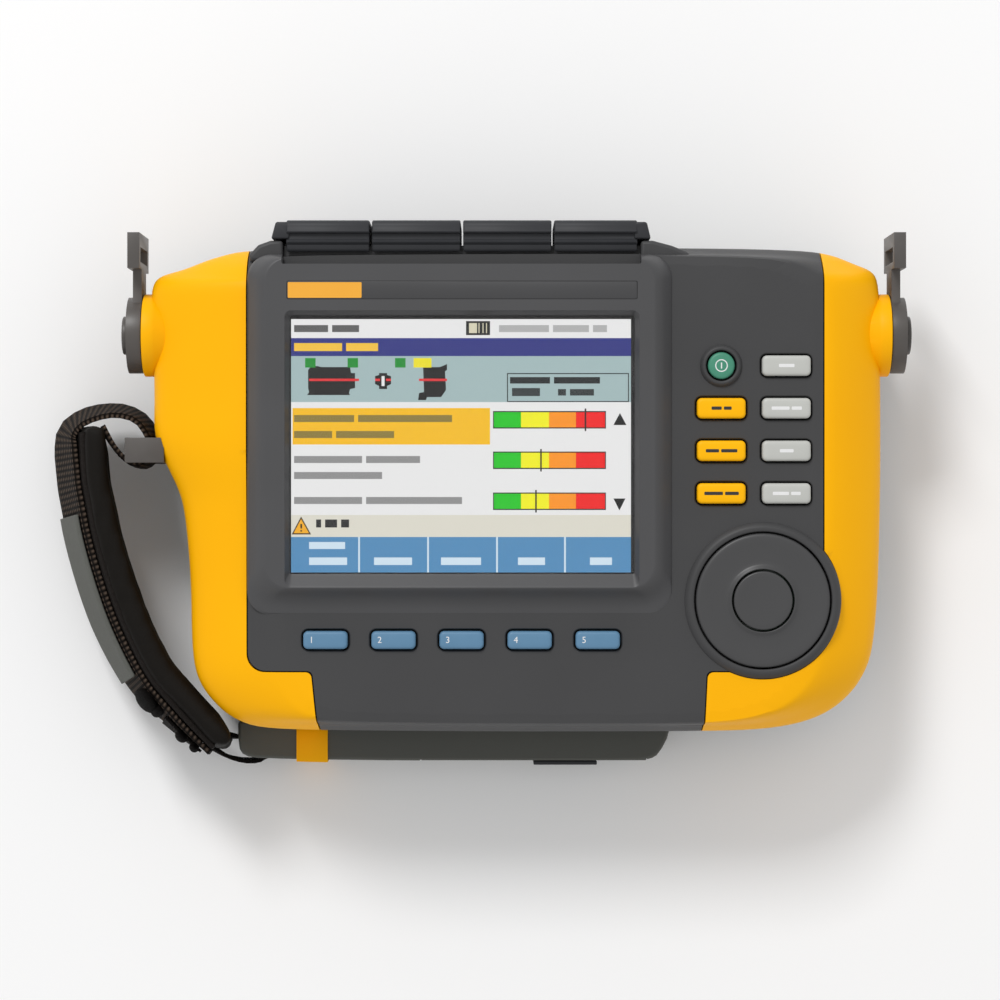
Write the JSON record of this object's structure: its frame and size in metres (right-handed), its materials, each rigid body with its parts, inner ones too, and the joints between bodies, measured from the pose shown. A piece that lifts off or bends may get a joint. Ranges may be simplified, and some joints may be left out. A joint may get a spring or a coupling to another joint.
{
  "type": "handheld vibration meter",
  "caption": "Two-hand portable vibration meter with a raised screen, keypad, tilting direction disc, hinged socket covers, strap lugs and a padded hand strap.",
  "frame": {"origin": "middle of the box round the object, on the surface it lies on", "axes": "+X to the right of the screen, +Y towards the sockets, +Z out of the screen"},
  "size_m": [0.2951, 0.1856, 0.07],
  "materials": {
    "dark_shell": "fine satin texture",
    "rear_shell": "fine satin texture",
    "yellow_moulding": "smooth satin",
    "seal_rubber": "matt",
    "window": "clear",
    "display": "lit screen",
    "key_mat": "matt",
    "circuit_board": "solder mask",
    "panel": "satin",
    "socket_metal": "nickel plate",
    "socket_plastic": "moulded",
    "nameplate": "smooth film",
    "pack_shell": "satin",
    "cell": "shrink sleeve",
    "contact": "plated",
    "steel": "plain",
    "foot_rubber": "matt",
    "lug_plastic": "filled nylon",
    "webbing": "coarse polyester weave",
    "pad_fabric": "foam under knitted cloth",
    "patch_fabric": "hook and loop tape",
    "cover_rubber": "matt",
    "function_key": "satin",
    "power_key": "satin",
    "yellow_key": "satin",
    "grey_key": "satin",
    "disc_plastic": "satin"
  },
  "bodies": {
    "root": {"front_case": "dark_shell", "grip_left": "yellow_moulding", "side_right": "yellow_moulding", "rear_case": "rear_shell", "case_seal": "seal_rubber", "band_stripe": "yellow_moulding", "display_window": "window", "display_module": "display", "keypad_mat": "key_mat", "keypad_board": "circuit_board", "main_board": "circuit_board", "socket_panel": "panel", "sensor_socket": "socket_metal", "speed_socket": "socket_metal", "usb_socket": "socket_metal", "power_socket": "socket_plastic", "nameplate": "nameplate", "battery_contacts": "contact", "case_screws": "steel", "rear_feet": "foot_rubber", "lug_post_left": "lug_plastic", "lug_post_right": "lug_plastic", "strap_webbing": "webbing", "strap_pad": "pad_fabric", "strap_patch": "patch_fabric", "strap_tab": "webbing", "strap_lower_loop": "webbing", "strap_bracket": "lug_plastic", "strap_pin_upper": "steel", "strap_pin_lower": "steel", "cover_strip": "cover_rubber"},
    "battery": {"battery_pack": "pack_shell", "battery_cells": "cell"},
    "latch": {"battery_latch": "pack_shell"},
    "left_lug": {"lug_left": "lug_plastic"},
    "right_lug": {"lug_right": "lug_plastic"},
    "sensor_cover": {"cover_sensor": "cover_rubber"},
    "speed_cover": {"cover_speed": "cover_rubber"},
    "usb_cover": {"cover_usb": "cover_rubber"},
    "power_cover": {"cover_power": "cover_rubber"},
    "cradle": {"disc_cradle": "disc_plastic"},
    "disc": {"direction_disc": "disc_plastic"},
    "enter": {"enter_key": "disc_plastic"},
    "f1_button": {"key_f1": "function_key"},
    "f2_button": {"key_f2": "function_key"},
    "f3_button": {"key_f3": "function_key"},
    "f4_button": {"key_f4": "function_key"},
    "f5_button": {"key_f5": "function_key"},
    "power_button": {"key_power": "power_key"},
    "yellow_1_button": {"key_yellow_1": "yellow_key"},
    "yellow_2_button": {"key_yellow_2": "yellow_key"},
    "yellow_3_button": {"key_yellow_3": "yellow_key"},
    "grey_1_button": {"key_grey_1": "grey_key"},
    "grey_2_button": {"key_grey_2": "grey_key"},
    "grey_3_button": {"key_grey_3": "grey_key"},
    "grey_4_button": {"key_grey_4": "grey_key"}
  },
  "joints": [
    {"name": "f1_press", "type": "slide", "parent": "root", "child": "f1_button", "axis": [0, 0, -1], "range_m": [0, 0.0012], "stiffness_N_per_m": 400},
    {"name": "f2_press", "type": "slide", "parent": "root", "child": "f2_button", "axis": [0, 0, -1], "range_m": [0, 0.0012], "stiffness_N_per_m": 400},
    {"name": "f3_press", "type": "slide", "parent": "root", "child": "f3_button", "axis": [0, 0, -1], "range_m": [0, 0.0012], "stiffness_N_per_m": 400},
    {"name": "f4_press", "type": "slide", "parent": "root", "child": "f4_button", "axis": [0, 0, -1], "range_m": [0, 0.0012], "stiffness_N_per_m": 400},
    {"name": "f5_press", "type": "slide", "parent": "root", "child": "f5_button", "axis": [0, 0, -1], "range_m": [0, 0.0012], "stiffness_N_per_m": 400},
    {"name": "power_press", "type": "slide", "parent": "root", "child": "power_button", "axis": [0, 0, -1], "range_m": [0, 0.0012], "stiffness_N_per_m": 400},
    {"name": "yellow_1_press", "type": "slide", "parent": "root", "child": "yellow_1_button", "axis": [0, 0, -1], "range_m": [0, 0.0012], "stiffness_N_per_m": 400},
    {"name": "yellow_2_press", "type": "slide", "parent": "root", "child": "yellow_2_button", "axis": [0, 0, -1], "range_m": [0, 0.0012], "stiffness_N_per_m": 400},
    {"name": "yellow_3_press", "type": "slide", "parent": "root", "child": "yellow_3_button", "axis": [0, 0, -1], "range_m": [0, 0.0012], "stiffness_N_per_m": 400},
    {"name": "grey_1_press", "type": "slide", "parent": "root", "child": "grey_1_button", "axis": [0, 0, -1], "range_m": [0, 0.0012], "stiffness_N_per_m": 400},
    {"name": "grey_2_press", "type": "slide", "parent": "root", "child": "grey_2_button", "axis": [0, 0, -1], "range_m": [0, 0.0012], "stiffness_N_per_m": 400},
    {"name": "grey_3_press", "type": "slide", "parent": "root", "child": "grey_3_button", "axis": [0, 0, -1], "range_m": [0, 0.0012], "stiffness_N_per_m": 400},
    {"name": "grey_4_press", "type": "slide", "parent": "root", "child": "grey_4_button", "axis": [0, 0, -1], "range_m": [0, 0.0012], "stiffness_N_per_m": 400},
    {"name": "enter_press", "type": "slide", "parent": "root", "child": "enter", "axis": [0, 0, -1], "range_m": [0, 0.0012], "stiffness_N_per_m": 400},
    {"name": "cradle_rock", "type": "hinge", "parent": "root", "child": "cradle", "pos_m": [0.09609, -0.0345, 0.06], "axis": [0, 1, 0], "range_deg": [-3, 3], "stiffness_Nm_per_rad": 0.3},
    {"name": "disc_rock", "type": "hinge", "parent": "cradle", "child": "disc", "pos_m": [0.09609, -0.0345, 0.06], "axis": [1, 0, 0], "range_deg": [-3, 3], "stiffness_Nm_per_rad": 0.3},
    {"name": "sensor_cover_hinge", "type": "hinge", "parent": "root", "child": "sensor_cover", "pos_m": [-0.04926, 0.0928, 0.02], "axis": [-1, 0, 0], "range_deg": [0, 110], "stiffness_Nm_per_rad": 0.02},
    {"name": "speed_cover_hinge", "type": "hinge", "parent": "root", "child": "speed_cover", "pos_m": [-0.01966, 0.0928, 0.02], "axis": [-1, 0, 0], "range_deg": [0, 110], "stiffness_Nm_per_rad": 0.02},
    {"name": "usb_cover_hinge", "type": "hinge", "parent": "root", "child": "usb_cover", "pos_m": [0.01084, 0.0928, 0.02], "axis": [-1, 0, 0], "range_deg": [0, 110], "stiffness_Nm_per_rad": 0.02},
    {"name": "power_cover_hinge", "type": "hinge", "parent": "root", "child": "power_cover", "pos_m": [0.04044, 0.0928, 0.02], "axis": [-1, 0, 0], "range_deg": [0, 110], "stiffness_Nm_per_rad": 0.02},
    {"name": "left_lug_turn", "type": "hinge", "parent": "root", "child": "left_lug", "pos_m": [-0.11516, 0.0549, 0.0425], "axis": [1, 0, 0], "range_deg": [-105, 105]},
    {"name": "right_lug_turn", "type": "hinge", "parent": "root", "child": "right_lug", "pos_m": [0.14314, 0.0549, 0.0425], "axis": [1, 0, 0], "range_deg": [-105, 105]},
    {"name": "battery_slide", "type": "slide", "parent": "root", "child": "battery", "axis": [0, -1, 0], "range_m": [0, 0.07]},
    {"name": "latch_slide", "type": "slide", "parent": "battery", "child": "latch", "axis": [1, 0, 0], "range_m": [0, 0.005]}
  ]
}
